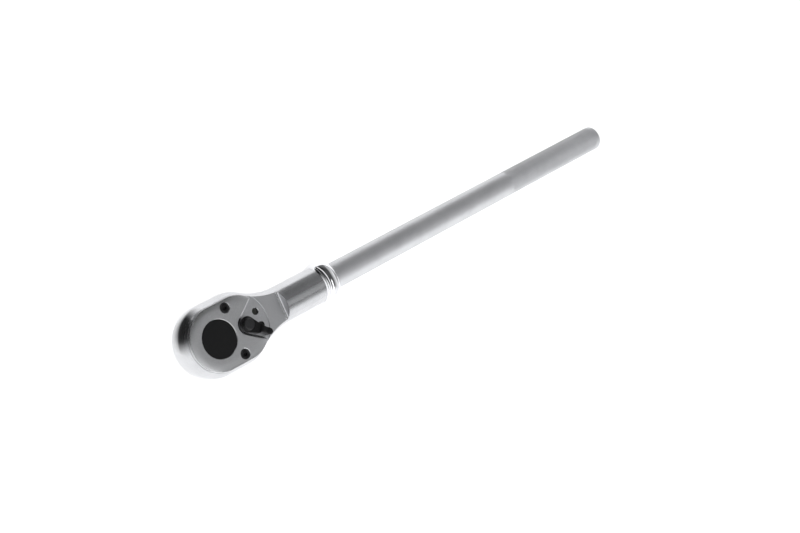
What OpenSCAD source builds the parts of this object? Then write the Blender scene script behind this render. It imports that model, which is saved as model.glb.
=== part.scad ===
// Reversible ratchet wrench with a 19 mm square drive and a plug-in tubular handle.
// +X runs along the handle and +Z points towards the cover plate and the reversing lever.
// The origin is on the drive axis, at the shoulder where the drive square leaves the head.
// Heights named _h are measured from the handle's axis, which lies axis_z above the origin.

/* [Head] */
// Height of the handle's axis above the drive shoulder
axis_z = 15; // [15:0.5:16]
// Radius of the rounded side of the head and neck, and of the shank
side_r = 17.5; // [17.5:0.1:17.8]
// Half width of the head at its widest
head_r = 33.7; // [33.5:0.1:34]
// Distance from the drive axis to the centre of the head's rear arc
rear_x = 23.5; // [23.5:0.5:24.5]
// Angle through which the outline turns from the head into the concave neck
neck_turn = 32.4; // [32:0.1:33]
// Height of the seat of the cover plate above the handle's axis
seat_h = 11.2; // [11:0.1:11.3]
// Height of the flats on the neck above and below the handle's axis
flat_h = 11.6; // [11.5:0.1:11.8]
// Distance from the drive axis to the wall where the neck's flats end
flat_end = 75; // [74:0.2:77]
// Depth of the underside of the head below the handle's axis
under_h = 14.2; // [14:0.1:14.4]

/* [Cover plate] */
// Radius of the two round ends of the cover plate
plate_r = 29.4; // [29:0.1:29.5]
// Thickness of the cover plate
plate_t = 3; // [3:0.1:3.2]
// Radius of the edge rounding around the cover plate
plate_round = 1.2; // [0.8:0.1:1.5]
// Radius of the fan-shaped cut-out around the lever's hub, at the top of the plate
fan_r = 9.2; // [8.8:0.1:10]
// Angle of the sides of the fan-shaped cut-out, from the handle's axis
fan_angle = 35; // [33:1:37]

/* [Ratchet] */
// Number of teeth on the ratchet wheel
tooth_count = 36; // [36]
// Outer radius of the ratchet wheel
wheel_r = 22.5; // [22.5]
// Radius of the two journals of the ratchet wheel
journal_r = 17.3; // [17:0.1:17.4]
// Width across the flats of the drive square
square_w = 19; // [18.9:0.05:19.05]
// Length of the drive square
square_len = 24; // [22:0.5:26]
// Angle that the pawls swing through between engaged and lifted
pawl_swing = 7; // [7]

/* [Lever] */
// Distance from the drive axis to the lever's pivot
lever_x = 31; // [31]
// Direction of the lever at rest, from the handle's axis
lever_rest = -42; // [-42:1:-40]
// Radius of the lever's hub
hub_r = 7.2; // [7:0.1:7.6]
// Distance from the pivot to the centre of the finger's round end
finger_reach = 21; // [20:0.5:21.5]

/* [Handle] */
// Radius of the handle tube
tube_r = 12.5; // [12.5:0.1:12.7]
// Wall thickness of the handle tube
tube_wall = 3; // [2.5:0.1:3.5]
// Distance from the drive axis to the end of the handle
handle_end = 519; // [400:1:620]
// Distance from the drive axis to the plugged-in end of the tube
tube_start = 95.5; // [95.5]
// Greatest radius of the polished collar
collar_r = 20.9; // [20.5:0.1:21.5]

/* [Hidden] */
$fn = 96;

// Colours
satin_chrome = [0.62, 0.63, 0.65];
bright_chrome = [0.85, 0.86, 0.88];
black_oxide = [0.09, 0.09, 0.10];
bare_steel = [0.50, 0.50, 0.52];
bronze = [0.66, 0.49, 0.28];
nitrile = [0.13, 0.13, 0.13];

// Heights above the origin
seat_z = axis_z + seat_h;
plate_top = seat_z + plate_t;
under_z = axis_z - under_h;
lower_flat_z = axis_z - flat_h;

// Clearances between parts that turn or slide in each other
run_gap = 0.05;
fit_gap = 0.03;

// Side curve of the forging: a circle of side_r swept along this centre line
side_line_r = head_r - side_r;
neck_line_r = side_line_r * cos(neck_turn) / (1 - cos(neck_turn));
neck_x = rear_x + (side_line_r + neck_line_r) * sin(neck_turn);
shank_end = 121;
spigot_end = 136;
spigot_r = 16;
shank_start = neck_x - 2;
neck_r = side_r - 0.06;
flat_fillet = 2.5;
seat_clear_r = 31.3;

// Wheel pocket and pawl pocket in the head
pocket_r = wheel_r + 0.5;
pocket_floor = 4.4;
pawl_floor = 8;
pawl_roof = 22;
washer_t = 1;
wheel_bottom = pocket_floor + washer_t + run_gap;
wheel_top = seat_z - 0.1;
disc_top = plate_top - 0.2;
tooth_depth = 1.7;
mesh_gap = 0.1;

// Socket ball in the drive square
ball_r = 3;
ball_out = 1.2;
ball_z = -11;
ball_x = -(square_w / 2 + ball_out - ball_r);
ball_bore_end = 2.5;
ball_bore_r = ball_r + fit_gap;

// Pawls and their pins
pin_x = 45.8;
pin_y = 6.6;
pin_r = 3;
pin_top = seat_z - 2;
pin_bottom = 3.8;
pawl_gap = 0.1;
tooth_angle = 35;

// Spindle
spindle_r = 5;
cam_r = 4.2;
cam_reach = 5.2;
cam_tip_r = 2.15;
lower_spindle_r = 3.5;
lever_bottom = seat_z + 0.15;
lever_foot_r = 5.1;
fan_foot_r = fan_r - 2.6;
lever_cap = plate_top + 0.7;
lever_mid = lever_cap + 0.9;
hub_top = seat_z + 6.8;
spindle_head_top = seat_z + 7.5;
lever_bore_r = 4;

// Screws of the cover plate
screw_x = 17.35;
screw_y = 22.2;
screw_r = 2.5;
screw_head_r = 4.9;
screw_sink_r = 5.3;
screw_len = 14;

// Handle
ring_x = 104;
ring_w = 2.2;
groove_depth = 1.2;
plug_flange = 4;
plug_round = 3;
plug_spigot = 22;

// A 2-D profile in (radius, height) carried round the outline of the head.
module around_head() {
    rotate([0, 0, 90]) rotate_extrude(angle = 180) children();
    translate([rear_x, 0, 0]) rotate([0, 0, -90]) rotate_extrude(angle = 180) children();
    rotate([90, 0, 90]) linear_extrude(rear_x) {
        children();
        mirror([1, 0]) children();
    }
}

// Flat stadium of radius r between two heights.
module stadium(r, z0, z1) {
    translate([0, 0, z0]) linear_extrude(z1 - z0) {
        circle(r);
        translate([rear_x, 0]) circle(r);
        translate([0, -r]) square([rear_x, 2 * r]);
    }
}

// Ring or disc about the X axis from x0 to x1.
module x_cylinder(r, x0, x1) {
    translate([x0, 0, axis_z]) rotate([0, 90, 0]) cylinder(r = r, h = x1 - x0);
}

// Upper half of the rounded side section, filled in to the axis.
module upper_side_section() {
    intersection() {
        translate([side_line_r, axis_z]) circle(side_r);
        translate([side_line_r, axis_z]) square([side_r, seat_h]);
    }
    translate([0, axis_z]) square([side_line_r, seat_h]);
}

// Lower half of the head: nearly straight sides down to a small chamfer.
module lower_side_section() {
    polygon([
        [0, under_z], [head_r - 2.6, under_z], [head_r - 1.6, under_z + 0.9],
        [head_r - 0.9, axis_z - 10], [head_r - 0.3, axis_z - 5], [head_r - 0.1, axis_z],
        [0, axis_z],
    ]);
}

// Upper half of the head: the side section carried round to where the neck curve begins.
module upper_head() {
    rotate([0, 0, 90]) rotate_extrude(angle = 180) upper_side_section();
    rotate([90, 0, 90]) linear_extrude(rear_x) {
        upper_side_section();
        mirror([1, 0]) upper_side_section();
    }
    for (flip = [0, 1]) mirror([0, flip, 0]) translate([rear_x, 0, 0])
        rotate([0, 0, -90]) rotate_extrude(angle = neck_turn) upper_side_section();
}

// One side of the neck: a circle carried along the concave curve, starting inside the head.
module neck_side() {
    overlap = 0.5;
    intersection() {
        translate([neck_x, neck_line_r, axis_z]) rotate([0, 0, 270 - neck_turn - overlap])
            rotate_extrude(angle = neck_turn + overlap) translate([neck_line_r, 0]) circle(neck_r);
        translate([0, 0, -side_r]) cube([2 * neck_x, 2 * head_r, 4 * side_r]);
    }
}

// Space above the upper flat of the neck, with a fillet at its end wall.
module flat_cutter() {
    translate([0, head_r, axis_z]) rotate([90, 0, 0]) linear_extrude(2 * head_r) {
        translate([0, flat_h]) square([flat_end - flat_fillet, side_r]);
        translate([0, flat_h + flat_fillet]) square([flat_end, side_r]);
        translate([flat_end - flat_fillet, flat_h + flat_fillet]) circle(flat_fillet);
    }
}

module neck() {
    core_end = neck_x - 12;
    core_outline = [
        [rear_x - 1, side_line_r], [rear_x + 8.7, side_line_r - 2.6], [45, 7], [core_end, 1],
    ];
    difference() {
        union() {
            neck_side();
            mirror([0, 1, 0]) neck_side();
            translate([0, 0, lower_flat_z]) linear_extrude(2 * flat_h) for (side = [-1, 1])
                polygon([
                    [core_end, 0], [rear_x - 1, 0], for (p = core_outline) [p[0], side * p[1]],
                ]);
        }
        flat_cutter();
        translate([0, 0, 2 * axis_z]) mirror([0, 0, 1]) flat_cutter();
    }
}

// Outline of the pocket for the pawls, open towards the wheel pocket.
module pawl_pocket_outline() {
    side = [[16, 15.5], [18.3, 18.4], [23.2, 20.1], [31.5, 17.6], [41, 13.9], [48.5, 12.6], [57, 8]];
    last = len(side) - 1;
    polygon([
        for (p = side) p,
        for (i = [last:-1:0]) [side[i][0], -side[i][1]],
    ]);
}

module head_body() {
    color(satin_chrome) difference() {
        union() {
            upper_head();
            around_head() lower_side_section();
            neck();
            x_cylinder(side_r, shank_start, shank_end);
            x_cylinder(spigot_r, shank_end, spigot_end);
        }
        stadium(seat_clear_r, seat_z, seat_z + side_r);
        translate([0, 0, pocket_floor]) cylinder(r = pocket_r, h = seat_z);
        translate([0, 0, under_z - 1]) cylinder(r = journal_r + run_gap, h = seat_z);
        translate([0, 0, pawl_floor]) linear_extrude(pawl_roof - pawl_floor) pawl_pocket_outline();
        translate([lever_x, 0, pawl_floor]) cylinder(r = spindle_r + run_gap, h = seat_z);
        translate([lever_x, 0, pocket_floor])
            cylinder(r = lower_spindle_r + run_gap, h = pawl_roof - pocket_floor);
        for (side = [-1, 1]) {
            translate([pin_x, side * pin_y, pin_bottom])
                cylinder(r = pin_r + fit_gap, h = seat_z);
            translate([screw_x, side * screw_y, seat_z - screw_len])
                cylinder(r = screw_r + fit_gap, h = screw_len + 1);
        }
        x_cylinder(tube_r + run_gap, tube_start - 0.5, spigot_end + 1);
        x_cylinder(tube_r - tube_wall, tube_start - 6, tube_start + 1);
    }
}

// Fan-shaped cut-out about the lever's pivot: walls that slope in towards the body, round at the
// hub and straight along both sides.
module fan_cut() {
    far = 60;
    over = 1;
    slope = (fan_r - fan_foot_r) / plate_t;
    low_r = fan_foot_r - slope * over;
    high_r = fan_r + slope * over;
    cut_h = plate_t + 2 * over;
    translate([0, 0, -over]) {
        cylinder(r1 = low_r, r2 = high_r, h = cut_h);
        for (side = [-1, 1]) rotate([0, 0, side * fan_angle]) rotate([90, 0, 90]) linear_extrude(far)
            polygon([[0, 0], [side * low_r, 0], [side * high_r, cut_h], [0, cut_h]]);
        linear_extrude(cut_h) polygon([
            [0, 0],
            [far * cos(fan_angle), -far * sin(fan_angle)],
            [far * cos(fan_angle), far * sin(fan_angle)],
        ]);
    }
}

module cover_plate() {
    color(satin_chrome) difference() {
        around_head() {
            translate([0, seat_z]) square([plate_r, plate_t - plate_round]);
            translate([0, seat_z]) square([plate_r - plate_round, plate_t]);
            translate([plate_r - plate_round, plate_top - plate_round]) circle(plate_round);
        }
        translate([0, 0, seat_z - 1]) cylinder(r = journal_r + run_gap, h = plate_t + 2);
        translate([0, 0, plate_top - 0.6])
            cylinder(r1 = journal_r + run_gap, r2 = journal_r + run_gap + 0.8, h = 0.8);
        translate([lever_x, 0, seat_z]) fan_cut();
        for (side = [-1, 1]) translate([screw_x, side * screw_y, 0]) {
            translate([0, 0, seat_z - 1]) cylinder(r = screw_r + 0.2, h = plate_t + 2);
            translate([0, 0, plate_top - screw_sink_r + screw_r])
                cylinder(r1 = screw_r, r2 = screw_sink_r + 0.1, h = screw_sink_r - screw_r + 0.1);
        }
    }
}

// Flat-head socket screw, head up, with its hexagon socket.
module cover_screw(side) {
    head_top = plate_top - 0.35;
    head_h = screw_head_r - screw_r;
    key_w = 3.4;
    translate([screw_x, side * screw_y, 0]) difference() {
        union() {
            translate([0, 0, seat_z - screw_len + 1.5])
                cylinder(r = screw_r, h = screw_len - 1.5 + plate_t - head_h);
            translate([0, 0, head_top - head_h]) cylinder(r1 = screw_r, r2 = screw_head_r, h = head_h);
        }
        translate([0, 0, head_top - 2]) cylinder(r = key_w / sqrt(3), h = 3, $fn = 6);
    }
}

module cover_screw_left() {
    color(black_oxide) cover_screw(1);
}

module cover_screw_right() {
    color(black_oxide) cover_screw(-1);
}

// Toothed outline with flanks at 45 degrees; a gap between teeth lies at tooth_angle.
module toothed_outline() {
    pitch = 360 / tooth_count;
    root_r = wheel_r - tooth_depth;
    flank = atan(tooth_depth / wheel_r);
    root_half = (pitch / 2 - flank) * 0.12;
    polygon([
        for (i = [0:tooth_count - 1])
            for (corner = [
                [root_r, -root_half], [root_r, root_half],
                [wheel_r, root_half + flank], [wheel_r, pitch - root_half - flank],
            ])
                corner[0] * [
                    cos(tooth_angle + i * pitch + corner[1]),
                    sin(tooth_angle + i * pitch + corner[1]),
                ],
    ]);
}

module drive_square() {
    tip = 1.5;
    corner_r = 12.7;
    intersection() {
        translate([-square_w / 2, -square_w / 2, -square_len])
            cube([square_w, square_w, square_len + 1]);
        union() {
            translate([0, 0, -square_len + tip]) cylinder(r = corner_r, h = square_len);
            translate([0, 0, -square_len]) cylinder(r1 = corner_r - 2 * tip, r2 = corner_r, h = tip);
        }
    }
}

module ratchet_wheel() {
    ring_z = 2;
    edge = 0.5;
    color(black_oxide) difference() {
        union() {
            cylinder(r = journal_r, h = disc_top - edge);
            translate([0, 0, disc_top - edge]) cylinder(r1 = journal_r, r2 = journal_r - edge, h = edge);
            translate([0, 0, wheel_bottom]) linear_extrude(wheel_top - wheel_bottom) toothed_outline();
            drive_square();
        }
        translate([0, 0, ring_z]) difference() {
            cylinder(r = journal_r + 1, h = 1.6);
            cylinder(r = journal_r - 1.3, h = 1.6);
        }
        translate([-square_w / 2 + 0.4, 0, ball_z]) rotate([0, 90, 0])
            cylinder(r = ball_bore_r, h = square_w / 2 - 0.4 + ball_bore_end);
        translate([-square_w, 0, ball_z]) rotate([0, 90, 0])
            cylinder(r = ball_r - 0.28, h = square_w);
    }
}

module wheel_thrust_washer() {
    color(bronze) translate([0, 0, pocket_floor]) difference() {
        cylinder(r = pocket_r - 0.3, h = washer_t);
        translate([0, 0, -1]) cylinder(r = journal_r + 0.2, h = washer_t + 2);
    }
}

// Square-section spring ring with a gap.
module split_ring(outer_r, inner_r, width, gap) {
    difference() {
        cylinder(r = outer_r, h = width);
        translate([0, 0, -1]) cylinder(r = inner_r, h = width + 2);
        translate([0, -gap / 2, -1]) cube([2 * outer_r, gap, width + 2]);
    }
}

module wheel_friction_ring() {
    color(bare_steel) translate([0, 0, 2.1]) split_ring(journal_r + 0.03, journal_r - 1.25, 1.4, 2);
}

module socket_ball() {
    color(bare_steel) translate([ball_x, 0, ball_z]) sphere(ball_r);
}

// Coil spring along +Z, standing on z = 0, as a tube swept along a helix.
module coil_spring(coil_r, wire_r, length, turns) {
    sides = 8;
    steps = 12;
    rings = turns * steps;
    rise = length - 2 * wire_r;
    points = [
        for (i = [0:rings])
            for (k = [0:sides - 1])
                let (
                    turn = 360 * i / steps,
                    out = coil_r + wire_r * cos(360 * k / sides),
                    up = wire_r + rise * i / rings + wire_r * sin(360 * k / sides)
                ) [out * cos(turn), out * sin(turn), up],
    ];
    first_cap = [for (k = [0:sides - 1]) k];
    last_cap = [for (k = [sides - 1:-1:0]) rings * sides + k];
    walls = [
        for (i = [0:rings - 1])
            for (k = [0:sides - 1])
                let (a = i * sides + k, b = i * sides + (k + 1) % sides)
                    [b, a, a + sides, b + sides],
    ];
    polyhedron(points = points, faces = concat([first_cap, last_cap], walls), convexity = 10);
}

module socket_ball_spring() {
    start = ball_x + ball_r - 0.6;
    color(bare_steel) translate([start, 0, ball_z]) rotate([0, 90, 0])
        coil_spring(2.2, 0.35, ball_bore_end - start - 0.1, 6);
}

// Turns its children with the lever, about the lever's pivot.
module at_lever() {
    translate([lever_x, 0, 0]) rotate([0, 0, lever_rest]) children();
}

// Plan of the lever: a round root about the pivot and an arm that steps in to the finger.
module lever_plan(root_r) {
    neck_u = 11.5;
    neck_v = 4.6;
    finger_r = 3;
    root_side = [0.25, 0.965] * root_r;
    circle(root_r);
    translate([finger_reach, 0]) circle(finger_r);
    polygon([
        root_side, [neck_u, neck_v], [neck_u + 1.6, finger_r + 0.4], [neck_u + 3, finger_r],
        [finger_reach, finger_r], [finger_reach, -finger_r], [neck_u + 3, -finger_r],
        [neck_u + 1.6, -finger_r - 0.4], [neck_u, -neck_v], [root_side[0], -root_side[1]],
    ]);
}

module reversing_lever() {
    finger_from = 9;
    finger_top = seat_z + 8.4;
    color(black_oxide) at_lever() difference() {
        union() {
            translate([0, 0, lever_bottom]) linear_extrude(lever_mid - lever_bottom)
                lever_plan(lever_foot_r);
            translate([0, 0, lever_cap]) linear_extrude(lever_mid - lever_cap) lever_plan(hub_r);
            translate([0, 0, lever_mid]) cylinder(r1 = 7, r2 = 5.6, h = hub_top - lever_mid);
            intersection() {
                translate([0, 0, lever_bottom]) linear_extrude(finger_top - lever_bottom)
                    lever_plan(hub_r);
                rotate([90, 0, 0]) translate([0, 0, -10]) linear_extrude(20) polygon([
                    [finger_from, lever_bottom], [finger_from, lever_mid], [finger_from + 5, finger_top],
                    [finger_reach + 5, finger_top], [finger_reach + 5, lever_bottom],
                ]);
            }
        }
        translate([0, 0, lever_bottom - 1]) cylinder(r = lever_bore_r + fit_gap, h = hub_top);
        translate([finger_from + 3, -10, lever_bottom - 1]) cube([20, 20, 1.8]);
    }
}

module cam_spindle() {
    seal_z = pawl_roof + 1.5;
    color(bare_steel) at_lever() difference() {
        union() {
            translate([0, 0, pocket_floor + 0.2])
                cylinder(r = lower_spindle_r, h = pawl_floor - pocket_floor);
            translate([0, 0, pawl_floor + 0.1]) linear_extrude(pawl_roof - pawl_floor - 0.2) {
                circle(cam_r);
                rotate(180) translate([cam_reach, 0]) circle(cam_tip_r);
                rotate(180) translate([0, -cam_tip_r]) square([cam_reach, 2 * cam_tip_r]);
            }
            translate([0, 0, pawl_floor + 0.2]) cylinder(r = cam_r, h = pawl_roof - pawl_floor);
            translate([0, 0, pawl_roof - 0.1]) cylinder(r = spindle_r, h = seat_z - pawl_roof + 0.2);
            translate([0, 0, seat_z]) cylinder(r = lever_bore_r, h = hub_top - seat_z);
            translate([0, 0, hub_top]) cylinder(r = 4.8, h = spindle_head_top - hub_top - 0.3);
            translate([0, 0, spindle_head_top - 0.3]) cylinder(r1 = 4.8, r2 = 4.5, h = 0.3);
        }
        translate([0, 0, seal_z]) difference() {
            cylinder(r = spindle_r + 1, h = 1.4);
            cylinder(r = spindle_r - 1.25, h = 1.4);
        }
    }
}

module spindle_seal() {
    seal_wire_r = 0.62;
    color(nitrile) translate([lever_x, 0, pawl_roof + 2.2]) rotate_extrude()
        translate([spindle_r - seal_wire_r, 0]) circle(seal_wire_r, $fn = 32);
}

// Outline of the left pawl, engaged: nose with one tooth, heel for the cam, eye and spring tail.
module pawl_outline() {
    tip_r = wheel_r - tooth_depth + 0.25;
    inner_r = wheel_r + 0.4;
    tip = tip_r * [cos(tooth_angle), sin(tooth_angle)];
    heel_angle = 7;
    flank_angle = 30.5;
    polygon([
        tip, tip + 2.2 * [cos(tooth_angle + 46), sin(tooth_angle + 46)],
        [22, 16.5], [30, 15], [41, 11.2], [46, 12], [50.5, 10.5], [54, 7.2], [54, 3.7], [49.3, 3.7],
        [47.5, 1.6], [44, 1.6], [40, 4], [35.5, 5.4], [29, 5.4], [26.4, 3.1], [24.4, 3.1],
        for (a = [heel_angle:4.7:flank_angle]) inner_r * [cos(a), sin(a)],
    ]);
}

// The two pawls mirror each other across the handle's axis.
module pawl(side, lifted) {
    turn = lifted ? -side * pawl_swing : 0;
    height = pawl_roof - pawl_floor - 2 * pawl_gap;
    translate([pin_x, side * pin_y, pawl_floor + pawl_gap]) difference() {
        rotate([0, 0, turn]) translate([-pin_x, -side * pin_y, 0]) linear_extrude(height)
            mirror([0, side < 0 ? 1 : 0]) pawl_outline();
        translate([0, 0, -1]) cylinder(r = pin_r + run_gap, h = height + 2);
    }
}

module pawl_left() {
    color(bare_steel) pawl(1, true);
}

module pawl_right() {
    color(bare_steel) pawl(-1, false);
}

module pawl_pin(side) {
    chamfer = 0.5;
    translate([pin_x, side * pin_y, pin_bottom]) {
        cylinder(r = pin_r, h = pin_top - pin_bottom - chamfer);
        translate([0, 0, pin_top - pin_bottom - chamfer])
            cylinder(r1 = pin_r, r2 = pin_r - chamfer, h = chamfer);
    }
}

module pawl_pin_left() {
    color(bare_steel) pawl_pin(1);
}

module pawl_pin_right() {
    color(bare_steel) pawl_pin(-1);
}

module pawl_spring() {
    spring_x = 51.8;
    spring_len = 6.2;
    low_y = -3.6;
    color(bare_steel) translate([spring_x, low_y, (pawl_floor + pawl_roof) / 2]) rotate([-90, 0, 0])
        coil_spring(2, 0.35, spring_len, 5);
}

module handle_collar() {
    bead_r = 12.2;
    lip_end = spigot_end + 1;
    half_len = (lip_end - shank_end) / 2;
    color(bright_chrome) difference() {
        translate([(shank_end + lip_end) / 2, 0, axis_z])
            rotate([0, 90, 0]) rotate_extrude() intersection() {
                translate([collar_r - bead_r, 0]) circle(bead_r);
                translate([tube_r, -half_len]) square([collar_r, 2 * half_len - 0.1]);
            }
        x_cylinder(spigot_r + fit_gap, shank_end - 1, spigot_end + 0.1);
        x_cylinder(tube_r + run_gap, shank_end, lip_end + 1);
    }
}

module handle_tube() {
    color(satin_chrome) difference() {
        x_cylinder(tube_r, tube_start, handle_end - plug_flange);
        x_cylinder(tube_r - tube_wall, tube_start - 1, handle_end);
        difference() {
            x_cylinder(tube_r + 1, ring_x, ring_x + ring_w);
            x_cylinder(tube_r - groove_depth, ring_x, ring_x + ring_w);
        }
    }
}

module handle_friction_ring() {
    color(bare_steel) translate([ring_x + 0.1, 0, axis_z]) rotate([0, 90, 0])
        split_ring(tube_r + 0.03, tube_r - groove_depth + 0.1, ring_w - 0.2, 3);
}

module end_plug() {
    flange_x = handle_end - plug_flange;
    color(satin_chrome) {
        x_cylinder(tube_r, flange_x, handle_end - plug_round);
        x_cylinder(tube_r - plug_round, flange_x, handle_end);
        translate([handle_end - plug_round, 0, axis_z]) rotate([0, 90, 0]) rotate_extrude()
            translate([tube_r - plug_round, 0]) intersection() {
                circle(plug_round);
                square(plug_round);
            }
        x_cylinder(tube_r - tube_wall - fit_gap, flange_x - plug_spigot, flange_x + 1);
    }
}

head_body();
cover_plate();
cover_screw_left();
cover_screw_right();
ratchet_wheel();
wheel_thrust_washer();
wheel_friction_ring();
socket_ball();
socket_ball_spring();
reversing_lever();
cam_spindle();
spindle_seal();
pawl_left();
pawl_right();
pawl_pin_left();
pawl_pin_right();
pawl_spring();
handle_collar();
handle_tube();
handle_friction_ring();
end_plug();
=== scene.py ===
import math

import bmesh
import bpy
from mathutils import Matrix, Vector


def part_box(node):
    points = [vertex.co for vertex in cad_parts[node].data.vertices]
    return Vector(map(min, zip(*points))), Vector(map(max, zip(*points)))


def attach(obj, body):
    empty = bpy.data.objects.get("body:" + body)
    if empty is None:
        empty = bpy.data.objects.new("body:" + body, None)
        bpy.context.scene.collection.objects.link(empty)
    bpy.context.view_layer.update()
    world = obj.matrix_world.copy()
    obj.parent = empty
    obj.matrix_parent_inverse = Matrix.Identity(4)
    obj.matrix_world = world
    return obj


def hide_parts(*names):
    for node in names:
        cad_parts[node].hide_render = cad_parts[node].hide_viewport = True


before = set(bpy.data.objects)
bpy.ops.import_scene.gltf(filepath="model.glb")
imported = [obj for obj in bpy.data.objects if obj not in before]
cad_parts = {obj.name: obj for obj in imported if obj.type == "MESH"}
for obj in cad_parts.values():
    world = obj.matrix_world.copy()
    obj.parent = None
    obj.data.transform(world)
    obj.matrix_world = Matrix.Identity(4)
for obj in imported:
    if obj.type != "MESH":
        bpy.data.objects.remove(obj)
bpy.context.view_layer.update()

# ---------------------------------------------------------------------------------------------
# Sizes in metres, in the frame's own axes: +X along the handle, +Z towards the cover plate
# ---------------------------------------------------------------------------------------------
MM = 0.001

plate_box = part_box("cover_plate")
wheel_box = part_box("ratchet_wheel")
head_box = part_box("head_body")
tube_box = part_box("handle_tube")
plug_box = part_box("end_plug")
collar_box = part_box("handle_collar")
lever_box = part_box("reversing_lever")
screw_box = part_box("cover_screw_left")
pin_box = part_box("pawl_pin_left")

SEAT_Z = plate_box[0].z
PLATE_TOP = plate_box[1].z
PLATE_R = plate_box[1].y
AXIS_Z = (tube_box[0].z + tube_box[1].z) / 2
TUBE_R = tube_box[1].y
HEAD_R = head_box[1].y
SPIGOT_END = head_box[1].x
# Round side of head, neck and shank
SIDE_R = 17.5 * MM
# The head is round about the drive axis and about a second centre towards the handle
REAR_X = 23.5 * MM
# How far the head's outline turns in before the neck's hollow curve takes over
NECK_TURN = math.radians(32.4)
# The neck's flats, and the leaning wall that ends them
FLAT_H = 11.6 * MM
FLAT_END = 74.7 * MM
FLAT_FILLET = 2.5 * MM
WALL_LEAN = 1.3 * MM
# Depth of the head's underside below the handle's axis
UNDER_H = AXIS_Z - 0.8 * MM
SHANK_END = 121 * MM
SPIGOT_R = 16 * MM
SEAT_CLEAR_R = 31.3 * MM
# The lever's fan-shaped cut-out at the plate's face and at its foot
FAN_R = 9.1 * MM
FAN_FOOT_R = 6.6 * MM
# Pockets inside the head for the wheel and the pawls
POCKET_R = 23 * MM
POCKET_FLOOR = 4.4 * MM
PAWL_FLOOR = 8 * MM
PAWL_ROOF = 22 * MM
JOURNAL_R = 17.35 * MM
LEVER_X = 31 * MM
LEVER_REST = math.radians(-42)
SCREW_X = (screw_box[0].x + screw_box[1].x) / 2
SCREW_Y = (screw_box[0].y + screw_box[1].y) / 2
PIN_X = (pin_box[0].x + pin_box[1].x) / 2
PIN_Y = (pin_box[0].y + pin_box[1].y) / 2

# Centre lines of the head's and the neck's round sides, seen from above
LINE_R = HEAD_R - SIDE_R
NECK_LINE_R = LINE_R * math.cos(NECK_TURN) / (1 - math.cos(NECK_TURN))
NECK_X = REAR_X + (LINE_R + NECK_LINE_R) * math.sin(NECK_TURN)


# ---------------------------------------------------------------------------------------------
# Small tools
# ---------------------------------------------------------------------------------------------
def mix(a, b, t):
    return a + (b - a) * t


def smooth_step(t):
    t = min(max(t, 0.0), 1.0)
    return t * t * (3 - 2 * t)


def steps(a, b, count):
    """count + 1 evenly spaced values from a to b."""
    return [mix(a, b, i / count) for i in range(count + 1)]


def arc(x, y, r, start, end, count):
    """Points of an arc in 2-D, angles in degrees."""
    return [
        (x + r * math.cos(math.radians(a)), y + r * math.sin(math.radians(a)))
        for a in steps(start, end, count)
    ]


def plain_object(name, verts, faces):
    mesh = bpy.data.meshes.new(name)
    mesh.from_pydata([tuple(v) for v in verts], [], faces)
    piece = bpy.data.objects.new(name, mesh)
    bpy.context.scene.collection.objects.link(piece)
    return piece


def new_object(name, verts, faces):
    """Mesh object with doubled points merged and its faces turned outwards."""
    piece = plain_object(name, verts, faces)
    mesh = piece.data
    bm = bmesh.new()
    bm.from_mesh(mesh)
    bmesh.ops.remove_doubles(bm, verts=bm.verts, dist=1e-7)
    bmesh.ops.recalc_face_normals(bm, faces=bm.faces)
    bm.to_mesh(mesh)
    bm.free()
    return piece


def bake(piece):
    """Turns a piece's modifiers into its mesh."""
    graph = bpy.context.evaluated_depsgraph_get()
    mesh = bpy.data.meshes.new_from_object(piece.evaluated_get(graph))
    piece.modifiers.clear()
    piece.data = mesh


def combine(piece, others, operation):
    """Adds closed meshes to a piece, or takes them away from it."""
    for other in others:
        step = piece.modifiers.new("combine", "BOOLEAN")
        step.operation = operation
        step.solver = "EXACT"
        step.object = other
        bake(piece)
        bpy.data.objects.remove(other)


def carve(piece, *cutters):
    combine(piece, cutters, "DIFFERENCE")


def join(piece, *others):
    combine(piece, others, "UNION")


def smooth(piece, material, angle):
    """Smooth shading that keeps edges over angle degrees crisp."""
    mesh = piece.data
    mesh.materials.clear()
    mesh.materials.append(material)
    mesh.polygons.foreach_set("use_smooth", [True] * len(mesh.polygons))
    mesh.set_sharp_from_angle(angle=math.radians(angle))


def shade(piece, material, angle=32):
    """Smooth shading that also keeps flat faces flat."""
    smooth(piece, material, angle)
    step = piece.modifiers.new("even_normals", "WEIGHTED_NORMAL")
    step.keep_sharp = True
    step.weight = 80


def loft(name, loops, ring=False):
    """Closed skin over equal-length loops of points.

    It has a flat face at either end, or in a ring the last loop joins the first.
    """
    rows, count = len(loops), len(loops[0])
    faces = []
    for j in range(rows if ring else rows - 1):
        above = (j + 1) % rows * count
        for i in range(count):
            k = (i + 1) % count
            faces.append((j * count + i, j * count + k, above + k, above + i))
    if not ring:
        faces.append(list(range(count)))
        faces.append([(rows - 1) * count + i for i in range(count)])
    return new_object(name, [point for loop in loops for point in loop], faces)


def lathe(name, profile, centre, axis="Z", segments=96):
    """Closed body of revolution; profile is a list of (radius, height) from one end to the other."""
    turn = {"Z": Matrix.Identity(3), "X": Matrix.Rotation(math.radians(90), 3, "Y")}[axis]
    angles = [2 * math.pi * i / segments for i in range(segments)]
    return loft(name, [
        [turn @ Vector((r * math.cos(a), r * math.sin(a), h)) + Vector(centre) for a in angles]
        for r, h in profile
    ])


def cylinder(r, z0, z1, x=0.0, y=0.0, segments=96):
    return lathe("cutter", [(r, z0), (r, z1)], (x, y, 0), segments=segments)


def prism(name, outlines):
    """Closed stack of outlines; outlines is a list of (points, z)."""
    return loft(name, [[(x, y, z) for x, y in points] for points, z in outlines])


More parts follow.
